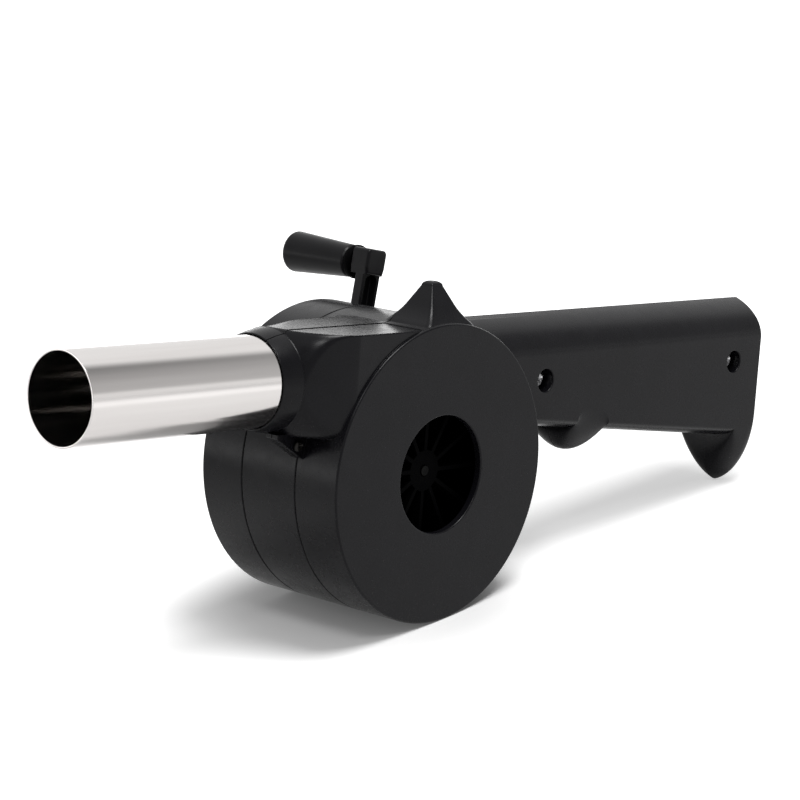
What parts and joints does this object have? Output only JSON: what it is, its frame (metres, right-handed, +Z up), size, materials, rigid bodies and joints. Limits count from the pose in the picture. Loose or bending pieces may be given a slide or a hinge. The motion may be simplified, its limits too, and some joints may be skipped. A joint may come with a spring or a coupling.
{
  "type": "hand crank blower",
  "caption": "Hand crank blower: a round fan housing with a side inlet, a steel outlet tube, a straight handle and a crank that drives the fan through gears.",
  "frame": {"origin": "middle of the footprint box, on the surface that the drum and the handle's tail rest on", "axes": "+X towards the mouth of the outlet tube, +Y out of the inlet face, +Z up"},
  "size_m": [0.2862, 0.091, 0.1037],
  "materials": {
    "black_plastic": "satin black moulded plastic",
    "gear_plastic": "natural white nylon",
    "polished_steel": "polished stainless steel",
    "screw_steel": "zinc plated steel",
    "bush_brass": "turned brass"
  },
  "bodies": {
    "casing": {"inlet_shell": "black_plastic", "middle_shell": "black_plastic", "gear_cover": "black_plastic", "outlet_tube": "polished_steel", "fan_bush": "bush_brass", "idler_axle": "screw_steel", "lug_screw": "screw_steel", "handle_screw_front": "screw_steel", "handle_screw_rear": "screw_steel", "cover_screw_1": "screw_steel", "cover_screw_2": "screw_steel", "cover_screw_3": "screw_steel"},
    "crank": {"crank_shaft": "screw_steel", "crank_gear": "gear_plastic", "crank_arm": "black_plastic", "crank_screw": "screw_steel", "knob_washer": "black_plastic", "knob_pin": "screw_steel"},
    "grip": {"knob": "black_plastic"},
    "idler": {"idler_gear": "gear_plastic"},
    "rotor": {"fan": "black_plastic", "fan_shaft": "screw_steel", "fan_pinion": "gear_plastic"}
  },
  "joints": [
    {"name": "crank_spin", "type": "hinge", "parent": "casing", "child": "crank", "pos_m": [0.00081, -0.00773, 0.04028], "axis": [0, 1, 0], "continuous": true},
    {"name": "knob_spin", "type": "hinge", "parent": "crank", "child": "grip", "pos_m": [-0.01535, -0.02073, 0.09045], "axis": [0, 1, 0], "continuous": true},
    {"name": "idler_spin", "type": "hinge", "parent": "casing", "child": "idler", "pos_m": [0.01452, 0, 0.02359], "axis": [0, 1, 0], "continuous": true},
    {"name": "fan_spin", "type": "hinge", "parent": "casing", "child": "rotor", "pos_m": [0.02055, 0.0095, 0.0435], "axis": [0, 1, 0], "continuous": true}
  ],
  "couplings": [
    {"joint": "idler_spin", "follows": "crank_spin", "ratio": -3.5},
    {"joint": "fan_spin", "follows": "crank_spin", "ratio": 11.667}
  ]
}
